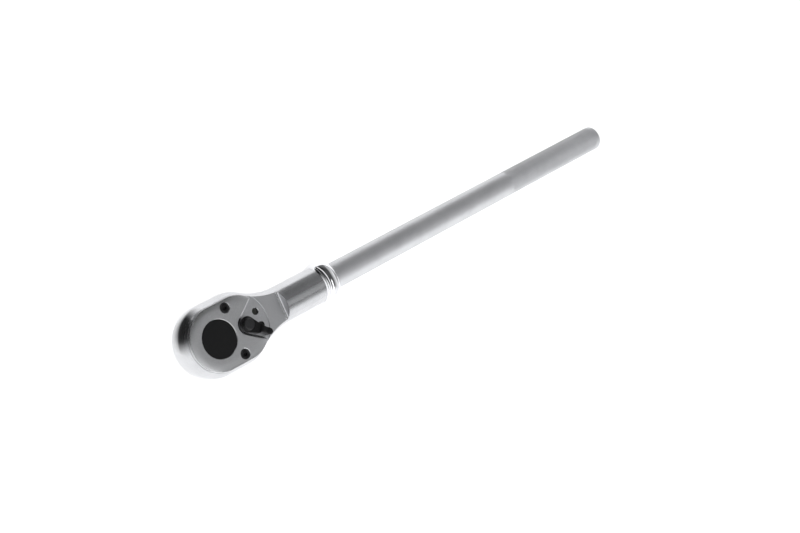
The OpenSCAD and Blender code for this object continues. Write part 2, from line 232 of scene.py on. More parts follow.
def stadium(r):
    """Outline of the head: two half circles about the drive axis and the rear centre."""
    points = 64
    return arc(0, 0, r, 90, 270, points) + arc(REAR_X, 0, r, -90, 90, points)


def fan(r):
    """Outline of the fan-shaped cut-out round the lever's hub, open towards the handle."""
    half_angle = 35
    reach = 60 * MM
    a = math.radians(half_angle)
    corner = (LEVER_X - r * math.sin(a), r * math.cos(a))
    far = (corner[0] + reach * math.cos(a), corner[1] + reach * math.sin(a))
    round_part = arc(LEVER_X, 0, r, 90 + half_angle, 270 - half_angle, 24)
    return [far] + round_part + [(far[0], -far[1])]


# ---------------------------------------------------------------------------------------------
# Materials
# ---------------------------------------------------------------------------------------------
class Surface:
    """Builds one Principled material from noise in object space, which is in metres here."""

    def __init__(self, name, metallic=1.0, coat=0.0):
        self.material = bpy.data.materials.new(name)
        self.material.use_nodes = True
        self.nodes = self.material.node_tree.nodes
        self.links = self.material.node_tree.links
        self.shader = self.nodes["Principled BSDF"]
        self.shader.inputs["Metallic"].default_value = metallic
        self.shader.inputs["Coat Weight"].default_value = coat
        self.shader.inputs["Coat Roughness"].default_value = 0.1
        self.coordinates = self.nodes.new("ShaderNodeTexCoord")

    def noise(self, size, detail, stretch=(1, 1, 1)):
        """Noise with features size metres across, longer along an axis where stretch is above 1."""
        mapping = self.nodes.new("ShaderNodeMapping")
        mapping.inputs["Scale"].default_value = [1 / s for s in stretch]
        self.links.new(self.coordinates.outputs["Object"], mapping.inputs["Vector"])
        texture = self.nodes.new("ShaderNodeTexNoise")
        texture.inputs["Scale"].default_value = 1 / size
        texture.inputs["Detail"].default_value = detail
        texture.inputs["Roughness"].default_value = 0.5
        self.links.new(mapping.outputs["Vector"], texture.inputs["Vector"])
        return texture.outputs["Fac"]

    def spread(self, value, low, high, start=0.3, end=0.7):
        """Maps start to low and end to high; by default the middle part of a noise is spread."""
        node = self.nodes.new("ShaderNodeMapRange")
        node.inputs["From Min"].default_value = start
        node.inputs["From Max"].default_value = end
        node.inputs["To Min"].default_value = low
        node.inputs["To Max"].default_value = high
        self.links.new(value, node.inputs["Value"])
        return node.outputs["Result"]

    def blend(self, factor, first, second):
        """A colour between two, each a tuple or another node's output."""
        node = self.nodes.new("ShaderNodeMix")
        node.data_type = "RGBA"
        self.links.new(factor, node.inputs["Factor"])
        for socket, colour in zip((node.inputs[6], node.inputs[7]), (first, second)):
            if isinstance(colour, tuple):
                socket.default_value = (*colour, 1)
            else:
                self.links.new(colour, socket)
        return node.outputs[2]

    def colour(self, output):
        self.links.new(output, self.shader.inputs["Base Color"])

    def roughness(self, output):
        self.links.new(output, self.shader.inputs["Roughness"])

    def bump(self, *layers):
        """Bump from (value, depth in metres) layers, one over the other."""
        normal = None
        for value, depth in layers:
            node = self.nodes.new("ShaderNodeBump")
            node.inputs["Strength"].default_value = 1.0
            node.inputs["Distance"].default_value = depth
            self.links.new(value, node.inputs["Height"])
            if normal is not None:
                self.links.new(normal, node.inputs["Normal"])
            normal = node.outputs["Normal"]
        self.links.new(normal, self.shader.inputs["Normal"])

    def between(self, factor, first, second):
        """A number between two other nodes' outputs."""
        node = self.nodes.new("ShaderNodeMix")
        self.links.new(factor, node.inputs["Factor"])
        self.links.new(first, node.inputs[2])
        self.links.new(second, node.inputs[3])
        return node.outputs[0]

    def maths(self, operation, *values):
        node = self.nodes.new("ShaderNodeMath")
        node.operation = operation
        for value, socket in zip(values, node.inputs):
            self.links.new(value, socket)
        return node.outputs[0]

    def level_faces(self):
        """1 where the surface faces straight up or down along the drive axis, 0 where it leans."""
        split = self.nodes.new("ShaderNodeSeparateXYZ")
        self.links.new(self.coordinates.outputs["Normal"], split.inputs[0])
        return self.spread(self.maths("ABSOLUTE", split.outputs["Z"]), 0.0, 1.0, 0.985, 0.998)

    def worn_edges(self, amount):
        """How convex the surface is, as a factor for wear along the edges."""
        geometry = self.nodes.new("ShaderNodeNewGeometry")
        return self.spread(geometry.outputs["Pointiness"], 0.0, amount, 0.52, 0.62)


def chrome(name, low, high, rough, grain, grain_depth, stretch=(1, 1, 1), flat_rough=None):
    """Chrome plate: slow changes of tone and gloss over a fine grain; level faces may be duller."""
    made = Surface(name)
    cloud = made.noise(14 * MM, 3)
    fine = made.noise(grain, 2, stretch)
    tone = made.blend(made.spread(cloud, 0, 1), low, high)
    gloss = made.spread(fine, *rough)
    if flat_rough:
        level = made.level_faces()
        specks = made.spread(made.noise(0.5 * MM, 2), 0, 1)
        dull_tone = made.blend(specks, tuple(0.9 * c for c in low), high)
        tone = made.blend(level, tone, dull_tone)
        gloss = made.between(level, gloss, made.spread(fine, *flat_rough))
    made.colour(tone)
    made.roughness(gloss)
    made.bump((fine, grain_depth), (made.noise(2.5 * MM, 2), grain_depth * 0.8))
    return made.material


def black_finish(name, tone, rough, grain_depth, wear=0.0, coat=0.0):
    """Black oxide or enamel on steel; with wear it is rubbed lighter along its edges."""
    made = Surface(name, metallic=0.0, coat=coat)
    made.shader.inputs["Specular IOR Level"].default_value = 0.3
    cloud = made.noise(5 * MM, 3)
    dark = tuple(0.7 * c for c in tone)
    ground = made.blend(made.spread(cloud, 0, 1), dark, tone)
    if wear:
        ground = made.blend(made.worn_edges(wear), ground, (0.22, 0.22, 0.23))
    made.colour(ground)
    fine = made.noise(0.35 * MM, 2)
    made.roughness(made.spread(fine, *rough))
    made.bump((fine, grain_depth))
    return made.material


def steel(name, low, high, rough):
    """Bare steel or bronze with a fine grain."""
    made = Surface(name)
    fine = made.noise(0.25 * MM, 3)
    made.colour(made.blend(made.spread(made.noise(4 * MM, 3), 0, 1), low, high))
    made.roughness(made.spread(fine, *rough))
    made.bump((fine, 0.004 * MM))
    return made.material


def rubber(name):
    """Matt black rubber."""
    made = Surface(name, metallic=0.0)
    fine = made.noise(0.2 * MM, 2)
    made.colour(made.blend(made.spread(fine, 0, 1), (0.012, 0.012, 0.012), (0.03, 0.03, 0.03)))
    made.roughness(made.spread(fine, 0.55, 0.75))
    made.bump((fine, 0.01 * MM))
    return made.material


forging_chrome = chrome(
    "forging_chrome", low=(0.60, 0.605, 0.62), high=(0.66, 0.665, 0.68), rough=(0.22, 0.27),
    grain=0.5 * MM, grain_depth=0.0010 * MM, flat_rough=(0.38, 0.50),
)
plate_chrome = chrome(
    "plate_chrome", low=(0.58, 0.585, 0.595), high=(0.66, 0.665, 0.675), rough=(0.24, 0.30),
    grain=0.4 * MM, grain_depth=0.0022 * MM, flat_rough=(0.36, 0.50),
)
tube_chrome = chrome(
    "tube_chrome", low=(0.64, 0.645, 0.66), high=(0.70, 0.705, 0.72), rough=(0.45, 0.52),
    grain=0.3 * MM, grain_depth=0.0012 * MM, stretch=(0.5, 6, 6),
)
bright_chrome = chrome(
    "bright_chrome", low=(0.80, 0.805, 0.82), high=(0.84, 0.845, 0.86), rough=(0.04, 0.08),
    grain=0.8 * MM, grain_depth=0.0004 * MM,
)
black_steel = black_finish(
    "black_steel", tone=(0.005, 0.005, 0.0055), rough=(0.38, 0.52), grain_depth=0.006 * MM,
)
black_screw = black_finish(
    "black_screw", tone=(0.005, 0.005, 0.0055), rough=(0.30, 0.42), grain_depth=0.003 * MM, wear=0.5,
)
black_lever = black_finish(
    "black_lever", tone=(0.008, 0.008, 0.0085), rough=(0.26, 0.38), grain_depth=0.006 * MM,
    wear=0.35, coat=0.15,
)
bare_steel = steel("bare_steel", (0.42, 0.42, 0.43), (0.52, 0.52, 0.53), (0.25, 0.38))
dark_steel = steel("dark_steel", (0.06, 0.062, 0.055), (0.12, 0.122, 0.11), (0.35, 0.5))
spring_steel = steel("spring_steel", (0.30, 0.30, 0.31), (0.40, 0.40, 0.41), (0.3, 0.45))
bronze = steel("bronze", (0.50, 0.34, 0.15), (0.62, 0.44, 0.22), (0.3, 0.45))
nitrile = rubber("nitrile")


# ---------------------------------------------------------------------------------------------
# Head: one round-sided skin along the outline, from the front of the head to the spigot
# ---------------------------------------------------------------------------------------------
EDGE_ROWS = 5
SIDE_ROWS = 8
TOP_ROWS = 13
CROWN_ROWS = 12
FRONT_COLUMNS = 28
MIDDLE_COLUMNS = 6
CORNER_COLUMNS = 10
NECK_COLUMNS = 26
FILLET_COLUMNS = 7
# Shallow groove where the neck's flat ends: (distance before the fillet, depth)
FLAT_GROOVE = [(0.7 * MM, 0.0), (0.35 * MM, 0.14 * MM), (0.0, 0.2 * MM)]
WALL_H = FLAT_H + FLAT_FILLET


def neck_section(top_h):
    """Half of the neck's section as (width, height) from the lower flat to the upper one."""
    limit = math.asin(top_h / SIDE_R)
    angles = steps(-limit, 0, EDGE_ROWS + SIDE_ROWS) + steps(0, limit, TOP_ROWS)[1:]
    return [(SIDE_R * math.cos(a), SIDE_R * math.sin(a)) for a in angles]


def head_section():
    """Half of the head's section: rounded lower edge, nearly straight side, round upper part."""
    edge_r = 1.6 * MM
    lean = 0.9 * MM
    lean_depth = 10 * MM

    def side_width(h):
        return SIDE_R - lean * (h / lean_depth) ** 2

    start_h = -UNDER_H + edge_r
    centre = side_width(start_h) - edge_r
    low = arc(centre, start_h, edge_r, -90, 0, EDGE_ROWS)
    side = [(side_width(h), h) for h in steps(start_h, 0, SIDE_ROWS)]
    return low + side[1:] + neck_section(FLAT_H)[-TOP_ROWS:]


def outline_places():
    """Columns along one side, and which one is the foot of the wall at the end of the neck's flat.

    Each column maps a width to (x, y), and has its section and its lower edge's bevel weight.
    """
    head, neck = head_section(), neck_section(FLAT_H)
    columns = []

    def add(place, section, low_edge):
        columns.append({"place": place, "section": section, "low_edge": low_edge})

    def round_place(x, a):
        return lambda w: (x + math.cos(a) * (LINE_R + w), math.sin(a) * (LINE_R + w))

    def neck_place(t):
        def place(w):
            reach = NECK_LINE_R - w
            a = mix(NECK_TURN, math.asin((NECK_X - neck_end) / reach), t)
            return NECK_X - reach * math.sin(a), NECK_LINE_R - reach * math.cos(a)

        return place

    for a in steps(math.pi, math.pi / 2, FRONT_COLUMNS):
        add(round_place(0, a), head, 0)
    for x in steps(0, REAR_X, MIDDLE_COLUMNS)[1:]:
        add(lambda w, x=x: (x, LINE_R + w), head, 0)
    for t in steps(0, 1, CORNER_COLUMNS)[1:]:
        add(round_place(REAR_X, math.pi / 2 - NECK_TURN * t), head, 0)
    fillet_start = FLAT_END - FLAT_FILLET
    neck_end = fillet_start - 0.9 * MM
    for t in steps(0, 1, NECK_COLUMNS)[1:]:
        share = smooth_step(t / 0.6)
        section = [
            (mix(p[0], q[0], share), mix(p[1], q[1], share)) for p, q in zip(head, neck)
        ]
        add(neck_place(t), section, smooth_step((t - 0.3) / 0.3))

    def at_x(x):
        def place(w):
            if x >= NECK_X:
                return x, w
            a = math.asin((NECK_X - x) / (NECK_LINE_R - w))
            return x, NECK_LINE_R - (NECK_LINE_R - w) * math.cos(a)

        return place

    for ahead, depth in FLAT_GROOVE:
        add(at_x(fillet_start - ahead), neck_section(FLAT_H - depth), 1)
    for a in steps(0, 90, FILLET_COLUMNS)[1:]:
        x = fillet_start + FLAT_FILLET * math.sin(math.radians(a))
        rise = FLAT_H + FLAT_FILLET * (1 - math.cos(math.radians(a)))
        add(at_x(x), neck_section(rise), 1)
    wall = len(columns) - 1
    for x in steps(FLAT_END + WALL_LEAN, NECK_X, 3)[1:] + steps(NECK_X, SHANK_END, 5)[1:]:
        add(at_x(x), neck_section(WALL_H), 1)
    return columns, wall


def crown_section():
    """Section above the wall's foot, up to the top of the shank."""
    limit = math.asin(WALL_H / SIDE_R)
    return [
        (SIDE_R * math.cos(a), SIDE_R * math.sin(a)) for a in steps(limit, math.pi / 2, CROWN_ROWS)[1:]
    ]


def head_skin():
    """Points and faces of the forging, and its rims as (point, point, bevel weight)."""
    verts, faces, rims = [], [], []
    columns, wall = outline_places()
    rows = EDGE_ROWS + SIDE_ROWS + TOP_ROWS + 1

    def vertex(x, y, h):
        verts.append((x, y, AXIS_Z + h))
        return len(verts) - 1

    side_index = {}
    for side in (1, -1):
        for c, column in enumerate(columns):
            for r, (w, h) in enumerate(column["section"]):
                x, y = column["place"](w)
                side_index[side, c, r] = vertex(x, side * y, h)
    crown_index = {}
    for c in range(wall, len(columns)):
        for level in (1, -1):
            for k, (w, h) in enumerate(crown_section()):
                x, y = columns[c]["place"](w)
                if c == wall:
                    x += WALL_LEAN * (h - WALL_H) / (SIDE_R - WALL_H)
                top = k == CROWN_ROWS - 1
                for side in (1, -1):
                    crown_index[side, level, c, k] = vertex(x, 0.0 if top else side * y, level * h)

    for side in (1, -1):
        for c in range(len(columns) - 1):
            for r in range(rows - 1):
                faces.append([
                    side_index[side, c, r], side_index[side, c + 1, r],
                    side_index[side, c + 1, r + 1], side_index[side, c, r + 1],
                ])

    def crown_line(side, level, c):
        first = side_index[side, c, rows - 1 if level > 0 else 0]
        return [first] + [crown_index[side, level, c, k] for k in range(CROWN_ROWS)]

    for c in range(wall, len(columns) - 1):
        for side in (1, -1):
            for level in (1, -1):
                here, there = crown_line(side, level, c), crown_line(side, level, c + 1)
                for k in range(CROWN_ROWS):
                    faces.append([here[k], there[k], there[k + 1], here[k + 1]])
    # Columns before the neck's end have one large flat face between them
    flat_columns = wall - FILLET_COLUMNS - len(FLAT_GROOVE)
    for level, row in ((1, rows - 1), (-1, 0)):
        left, right = crown_line(1, level, wall), crown_line(-1, level, wall)
        faces.append(left + right[-2::-1])
        edge = [side_index[1, c, row] for c in range(wall + 1)]
        other = [side_index[-1, c, row] for c in range(wall + 1)]
        first_grid = flat_columns if level > 0 else 0
        if level > 0:
            faces.append(edge[: flat_columns + 1] + other[flat_columns::-1][:-1])
        for c in range(first_grid, wall):
            faces.append([edge[c], edge[c + 1], other[c + 1], other[c]])
        for side in (1, -1):
            for c in range(wall):
                weight = 1.0 if level > 0 else columns[c]["low_edge"]
                rims.append((side_index[side, c, row], side_index[side, c + 1, row], weight))
            line = crown_line(side, level, wall)
            rims += [(line[k], line[k + 1], 1.0) for k in range(CROWN_ROWS)]

    last = len(columns) - 1
    ring = [side_index[1, last, r] for r in range(rows)] + crown_line(1, 1, last)[1:]
    ring += crown_line(-1, 1, last)[-2:0:-1]
    ring += [side_index[-1, last, r] for r in range(rows - 1, -1, -1)]
    ring += crown_line(-1, -1, last)[1:] + crown_line(1, -1, last)[-2:0:-1]
    scale = SPIGOT_R / SIDE_R
    shoulder, spigot = (
        [vertex(x, verts[i][1] * scale, (verts[i][2] - AXIS_Z) * scale) for i in ring]
        for x in (SHANK_END, SPIGOT_END)
    )
    for first, second in ((ring, shoulder), (shoulder, spigot)):
        for i in range(len(ring)):
            k = (i + 1) % len(ring)
            faces.append([first[i], first[k], second[k], second[i]])
    faces.append(spigot)
    return verts, faces, rims


def head_piece():
    """Forging with softened rims, and its pockets, holes and bore cut out."""
    verts, faces, rims = head_skin()
    piece = plain_object("head_forging", verts, [f for f in faces if len(set(f)) > 2])
    mesh = piece.data
    weight_of = {frozenset(r[:2]): r[2] for r in rims}
    bm = bmesh.new()
    bm.from_mesh(mesh)
    bm.verts.ensure_lookup_table()
    layer = bm.edges.layers.float.new("bevel_weight_edge")
    for edge in bm.edges:
        edge[layer] = weight_of.get(frozenset(v.index for v in edge.verts), 0.0)
    bmesh.ops.remove_doubles(bm, verts=bm.verts, dist=1e-7)
    bmesh.ops.recalc_face_normals(bm, faces=bm.faces)
    bm.to_mesh(mesh)
    bm.free()
    step = piece.modifiers.new("rims", "BEVEL")
    step.limit_method = "WEIGHT"
    step.width = 0.45 * MM
    step.segments = 3
    bake(piece)

    over = 20 * MM
    flare = 0.35 * MM
    step_top = AXIS_Z + FLAT_H
    seat = prism("seat", [
        (stadium(SEAT_CLEAR_R), SEAT_Z),
        (stadium(SEAT_CLEAR_R), step_top - flare / 2),
        (stadium(SEAT_CLEAR_R + flare), step_top + flare / 2),
        (stadium(SEAT_CLEAR_R + flare), SEAT_Z + over),
    ])
    wheel_pocket = cylinder(POCKET_R, POCKET_FLOOR, SEAT_Z + over)
    low = head_box[0].z
    chamfer = 0.8 * MM
    journal = lathe("journal", [
        (JOURNAL_R + chamfer * 2, low - chamfer), (JOURNAL_R, low + chamfer),
        (JOURNAL_R, POCKET_FLOOR + over),
    ], (0, 0, 0))
    half = [(16, 15.5), (18.3, 18.4), (23.2, 20.1), (31.5, 17.6), (41, 13.9), (48.5, 12.6), (57, 8)]
    left = [(x * MM, y * MM) for x, y in half]
    pawl_outline = left + [(x, -y) for x, y in reversed(left)]
    pawls = prism("pawls", [(pawl_outline, PAWL_FLOOR), (pawl_outline, PAWL_ROOF)])
    foot_r, cam_r = 3.55 * MM, 5.05 * MM
    spindle = lathe("spindle", [
        (foot_r, POCKET_FLOOR), (foot_r, PAWL_FLOOR + MM), (cam_r, PAWL_FLOOR + MM),
        (cam_r, SEAT_Z + MM),
    ], (LEVER_X, 0, 0), segments=48)
    holes = []
    pin_hole_r = (pin_box[1].x - pin_box[0].x) / 2 + 0.03 * MM
    screw_hole_r = 2.53 * MM
    for side in (1, -1):
        holes.append(lathe("pin_hole", [
            (pin_hole_r, pin_box[0].z), (pin_hole_r, SEAT_Z - 0.4 * MM),
            (pin_hole_r + 1.4 * MM, SEAT_Z + MM),
        ], (PIN_X, side * PIN_Y, 0), segments=48))
        holes.append(cylinder(
            screw_hole_r, screw_box[0].z - 1.5 * MM, SEAT_Z + MM, SCREW_X, side * SCREW_Y, 32,
        ))
    relief_r, bore_r = TUBE_R - 3 * MM, TUBE_R + 0.05 * MM
    bore_start = tube_box[0].x - 0.5 * MM
    bore = lathe("bore", [
        (relief_r, tube_box[0].x - 6 * MM), (relief_r, bore_start),
        (bore_r, bore_start), (bore_r, SPIGOT_END + MM),
    ], (0, 0, AXIS_Z), "X")
    carve(piece, seat, wheel_pocket, journal, pawls, spindle, *holes, bore)
    shade(piece, forging_chrome)
    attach(piece, "head")
    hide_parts("head_body")


# ---------------------------------------------------------------------------------------------
# Cover plate and its screws
# ---------------------------------------------------------------------------------------------
def plate_piece():
    """Cover plate that falls a little towards its rim, with the lever's cut-out and three holes."""
    low = 0.2 * MM
    rim_r = 0.8 * MM
    crown_w = 8 * MM
    crown_fall = 0.75 * MM
    shoulder_z = PLATE_TOP - crown_fall
    profile = [(PLATE_R - low, SEAT_Z), (PLATE_R, SEAT_Z + low)]
    profile += arc(PLATE_R - rim_r, shoulder_z - rim_r, rim_r, 0, 80, 7)
    for t in steps(0, 1, 8)[1:]:
        profile.append((PLATE_R - rim_r - crown_w * t, PLATE_TOP - crown_fall * (1 - t) ** 2))
    piece = prism("plate_body", [(stadium(r), z) for r, z in profile])
    # The cut-out's wall is a hollow from foot to top, with a small chamfer at the plate's face
    hollow_r = FAN_R - FAN_FOOT_R
    edge_r = 0.35 * MM
    fan_levels = [(FAN_FOOT_R, SEAT_Z - MM), (FAN_FOOT_R, SEAT_Z)]
    fan_levels += arc(FAN_FOOT_R, SEAT_Z + hollow_r, hollow_r, -78, 0, 8)
    fan_levels += [(FAN_R + i * edge_r, PLATE_TOP + (i - 1) * edge_r) for i in range(3)]
    fan_cut = prism("fan_cut", [(fan(r), z) for r, z in fan_levels])
    disc_cut = lathe("disc_cut", [
        (JOURNAL_R, SEAT_Z - MM), (JOURNAL_R, PLATE_TOP - 0.45 * MM),
        (JOURNAL_R + MM, PLATE_TOP + 0.55 * MM),
    ], (0, 0, 0), segments=128)
    cutters = [fan_cut, disc_cut]
    sink, hole = 5.3 * MM, 2.7 * MM
    for side in (1, -1):
        cutters.append(lathe("sink", [
            (hole, SEAT_Z - MM), (hole, PLATE_TOP - (sink - hole)),
            (sink - 0.1 * MM, PLATE_TOP - 0.1 * MM), (sink + 0.4 * MM, PLATE_TOP + 0.2 * MM),
        ], (SCREW_X, side * SCREW_Y, 0), segments=64))
    carve(piece, *cutters)
    shade(piece, plate_chrome)
    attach(piece, "head")
    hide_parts("cover_plate")


def screw_piece(name, node, side):
    """Flat-head screw with a hexagon recess."""
    x, y = SCREW_X, side * SCREW_Y
    top = screw_box[1].z
    shaft, head = 2.5 * MM, 4.9 * MM
    rim = 0.35 * MM
    piece = lathe(name, [
        (shaft - 0.5 * MM, screw_box[0].z), (shaft, screw_box[0].z + 0.5 * MM),
        (shaft, top - (head - shaft)), (head - 0.05 * MM, top - rim * 1.3),
        (head, top - rim), (head - rim * 0.3, top - rim * 0.3), (head - rim, top),
    ], (x, y, 0), segments=72)
    key = 3.4 * MM / math.sqrt(3)
    key_turn = 12
    hexagon = arc(0, 0, key, key_turn, key_turn + 300, 5)
    flare = 0.25 * MM
    grow = 1 + 2 * flare / key
    recess = prism("recess", [
        ([(x + 0.2 * px, y + 0.2 * py) for px, py in hexagon], top - 2.6 * MM),
        ([(x + px, y + py) for px, py in hexagon], top - 2 * MM),
        ([(x + px, y + py) for px, py in hexagon], top - flare),
        ([(x + grow * px, y + grow * py) for px, py in hexagon], top + flare),
    ])
    carve(piece, recess)
    shade(piece, black_screw)
    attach(piece, "head")
    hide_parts(node)


# ---------------------------------------------------------------------------------------------
# Reversing lever: a small casting with soft edges
# ---------------------------------------------------------------------------------------------
def lever_section(u, half, low, high):
    """Loop across the lever's arm at distance u from the pivot, with rounded corners."""
    top_r = min(0.95 * MM, 0.8 * half)
    foot_r = min(0.4 * MM, 0.4 * half)
    loop = arc(half - top_r, high - top_r, top_r, 0, 90, 6)
    loop += arc(-half + top_r, high - top_r, top_r, 90, 180, 6)
    loop += arc(-half + foot_r, low + foot_r, foot_r, 180, 270, 3)
    loop += arc(half - foot_r, low + foot_r, foot_r, 270, 360, 3)
    return [(u, v, z) for v, z in loop]


def lever_piece():
    """Hub, arm and finger as one casting, turned to the lever's place at rest."""
    low, top = lever_box[0].z, lever_box[1].z
    cap_low, cap_top = PLATE_TOP + 0.7 * MM, PLATE_TOP + 1.6 * MM
    hub_top = SEAT_Z + 6.6 * MM
    hub_r, foot_r, finger_r = 7.3 * MM, 5.1 * MM, 3.15 * MM
    reach = 21 * MM
    neck_u, neck_v = 11.5 * MM, 4.9 * MM
    relief = 0.8 * MM

    # (distance from the pivot, half width, bottom, top) of each section of the arm
    shape = [
        (1.3 * MM, 0.96 * foot_r, low, cap_top), (8.6 * MM, neck_v + 0.1 * MM, low, cap_top),
        (neck_u, neck_v, low, cap_top + 1.6 * MM),
        (neck_u + 0.8 * MM, neck_v - 0.4 * MM, low + relief, top - 1.2 * MM),
        (neck_u + 1.7 * MM, finger_r + 0.45 * MM, low + relief, top - 0.5 * MM),
        (neck_u + 3 * MM, finger_r, low + relief, top - 0.3 * MM),
        (reach - 3.2 * MM, finger_r - 0.1 * MM, low + relief, top - 0.5 * MM),
        (reach - 0.8 * MM, finger_r, low + relief, top),
    ]
    for a in steps(0, 84, 9):
        across, along = math.cos(math.radians(a)), math.sin(math.radians(a))
        drop = 0.5 * (1 - across) * MM
        shape.append((reach + finger_r * along, finger_r * across, low + relief + drop, top - drop))
    piece = loft("lever_casting", [lever_section(*section) for section in shape])

    taper = [(0.25 * hub_r, 0.965 * hub_r), (neck_u - 0.4 * MM, neck_v - 0.1 * MM)]
    outline = arc(0, 0, hub_r, 75, 285, 40) + [(u, -v) for u, v in taper] + list(reversed(taper))
    edge = 0.3 * MM
    inner = [(0.96 * u, 0.96 * v) for u, v in outline]
    cap = prism("cap", [(outline, cap_low), (outline, cap_top - edge), (inner, cap_top)])
    foot = lathe("foot", [(foot_r, low), (foot_r, cap_low + edge)], (0, 0, 0))
    hub = lathe("hub", [
        (hub_r - 1.6 * MM, cap_low + edge), (hub_r - 1.6 * MM, cap_top),
        (hub_r - 1.9 * MM, hub_top - 0.4 * MM), (hub_r - 2.2 * MM, hub_top),
    ], (0, 0, 0))
    join(piece, cap, foot, hub)
    soft = piece.modifiers.new("soft", "REMESH")
    soft.mode = "VOXEL"
    soft.voxel_size = 0.18 * MM
    blur = piece.modifiers.new("blur", "SMOOTH")
    blur.factor = 0.5
    blur.iterations = 8
    bake(piece)
    spindle_hole_r = 4.05 * MM
    carve(piece, cylinder(spindle_hole_r, low - MM, top + MM, segments=64))
    turn = Matrix.Translation((LEVER_X, 0, 0)) @ Matrix.Rotation(LEVER_REST, 4, "Z")
    piece.data.transform(turn)
    shade(piece, black_lever, 50)
    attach(piece, "lever")
    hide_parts("reversing_lever")


# ---------------------------------------------------------------------------------------------
# Handle: polished collar, tube with a diamond knurl, rounded end
# ---------------------------------------------------------------------------------------------
def collar_piece():
    """Polished bead with a fine groove, round the spigot and the tube's mouth."""
    start, end = collar_box[0].x, collar_box[1].x
    top_r = collar_box[1].y
    bead_r = 12.2 * MM
    middle = (start + end) / 2
    centre = top_r - bead_r
    limit = math.degrees(math.acos((16.9 * MM - centre) / bead_r))
    bead = arc(middle, centre, bead_r, 90 + limit, 90 - limit, 48)
    groove_x, groove_w, groove = start + 1.7 * MM, 0.3 * MM, 0.35 * MM
    gap = 0.05 * MM
    mouth_r = TUBE_R + 0.06 * MM
    profile = [(SPIGOT_R + gap, start), (17.1 * MM, start), (17.6 * MM, start + 0.15 * MM)]
    for x, r in bead:
        if start + 0.5 * MM < x < end - 0.6 * MM:
            near = math.exp(-(((x - groove_x) / groove_w) ** 2))
            profile.append((r - groove * near, x))
    profile += [
        (15.6 * MM, end - 0.1 * MM), (14.4 * MM, end), (TUBE_R + 0.5 * MM, end),
        (mouth_r, end - 0.4 * MM), (mouth_r, SPIGOT_END + gap), (SPIGOT_R + gap, SPIGOT_END + gap),
    ]
    segments = 128
    angles = [2 * math.pi * i / segments for i in range(segments)]
    piece = loft("collar_bead", [
        [(x, r * math.cos(a), AXIS_Z + r * math.sin(a)) for a in angles] for r, x in profile
    ], ring=True)
    shade(piece, bright_chrome, 45)
    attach(piece, "head")
    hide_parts("handle_collar")


KNURL_START = 378 * MM
# Diamonds round the tube
KNURL_STARTS = 48
KNURL_PITCH = 2.2 * MM
KNURL_DEPTH = 0.28 * MM
# Width of a diamond's flat top as a share of the diamond
KNURL_TOP = 0.42


def tube_piece():
    """Outer wall with a knurled grip, inner wall and the ring groove, as one closed skin."""
    start, end = tube_box[0].x, tube_box[1].x
    verts, faces = [], []
    fine = 2 * KNURL_STARTS

    def point(x, turn, r):
        a = 2 * math.pi * turn
        verts.append((x, r * math.cos(a), AXIS_Z + r * math.sin(a)))
        return len(verts) - 1

    def ring(x, r):
        return [point(x, i / fine, r) for i in range(fine)]

    def skin(rings):
        for first, second in zip(rings, rings[1:]):
            for i in range(fine):
                k = (i + 1) % fine
                faces.append([first[i], first[k], second[k], second[i]])

    groove_x, groove_w, groove_depth = 104 * MM, 2.2 * MM, 1.2 * MM
    inner_r = TUBE_R - 3 * MM
    chamfer = 0.5 * MM
    outer = [
        ring(start, TUBE_R - chamfer), ring(start + chamfer, TUBE_R), ring(groove_x, TUBE_R),
        ring(groove_x, TUBE_R - groove_depth), ring(groove_x + groove_w, TUBE_R - groove_depth),
        ring(groove_x + groove_w, TUBE_R),
    ]
    outer += [ring(x, TUBE_R) for x in steps(140 * MM, KNURL_START, 8)]
    inner = [ring(start, inner_r), ring(end, inner_r)]
    end_ring = ring(end, TUBE_R - 0.12 * MM)
    skin(outer)
    skin([outer[0], inner[0], inner[1], end_ring])

    knurl_length = end - KNURL_START - 1.2 * MM
    half_steps = 2 * int(knurl_length / KNURL_PITCH)
    pitch = 2 * knurl_length / half_steps
    first_x = KNURL_START + 0.4 * MM

    def share(m):
        """How much of the knurl's full depth a row has: it fades in at either end."""
        return min(min(m, half_steps - m) / 4, 1.0)

    crossings = []
    for m in range(half_steps + 1):
        crossings.append([
            point(
                first_x + m * pitch / 2, (i + (m % 2) / 2) / KNURL_STARTS,
                TUBE_R - KNURL_DEPTH * share(m),
            )
            for i in range(KNURL_STARTS)
        ])
    reach_x = KNURL_TOP * pitch / 2
    reach_turn = KNURL_TOP * 0.5 / KNURL_STARTS
    for m in range(1, half_steps):
        x = first_x + m * pitch / 2
        crest = TUBE_R - KNURL_DEPTH * (1 - min(share(m) * 1.5, 1.0)) * 0.2
        for i in range(KNURL_STARTS):
            k = (i + 1) % KNURL_STARTS
            beside = k if m % 2 else i
            corners = [
                crossings[m - 1][beside], crossings[m][i], crossings[m + 1][beside], crossings[m][k],
            ]
            turn = (i + 0.5 + (m % 2) / 2) / KNURL_STARTS
            tops = [
                point(x - reach_x, turn, crest), point(x, turn - reach_turn, crest),
                point(x + reach_x, turn, crest), point(x, turn + reach_turn, crest),
            ]
            faces.append(tops)
            for j in range(4):
                n = (j + 1) % 4
                faces.append([corners[j], corners[n], tops[n], tops[j]])

    def zip_ends(fine_ring, coarse, next_row):
        """Joins a ring of the plain tube to the knurl's first or last row of crossings."""
        for i in range(KNURL_STARTS):
            k = (i + 1) % KNURL_STARTS
            plain = [fine_ring[(2 * i + j) % fine] for j in (2, 1, 0)]
            faces.append([coarse[i], coarse[k]] + plain)
            faces.append([coarse[i], coarse[k], next_row[i]])

    zip_ends(outer[-1], crossings[0], crossings[1])
    zip_ends(end_ring, crossings[-1], crossings[-2])
    piece = new_object("grip_tube", verts, faces)
    smooth(piece, tube_chrome, 12)
    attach(piece, "handle")
    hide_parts("handle_tube")


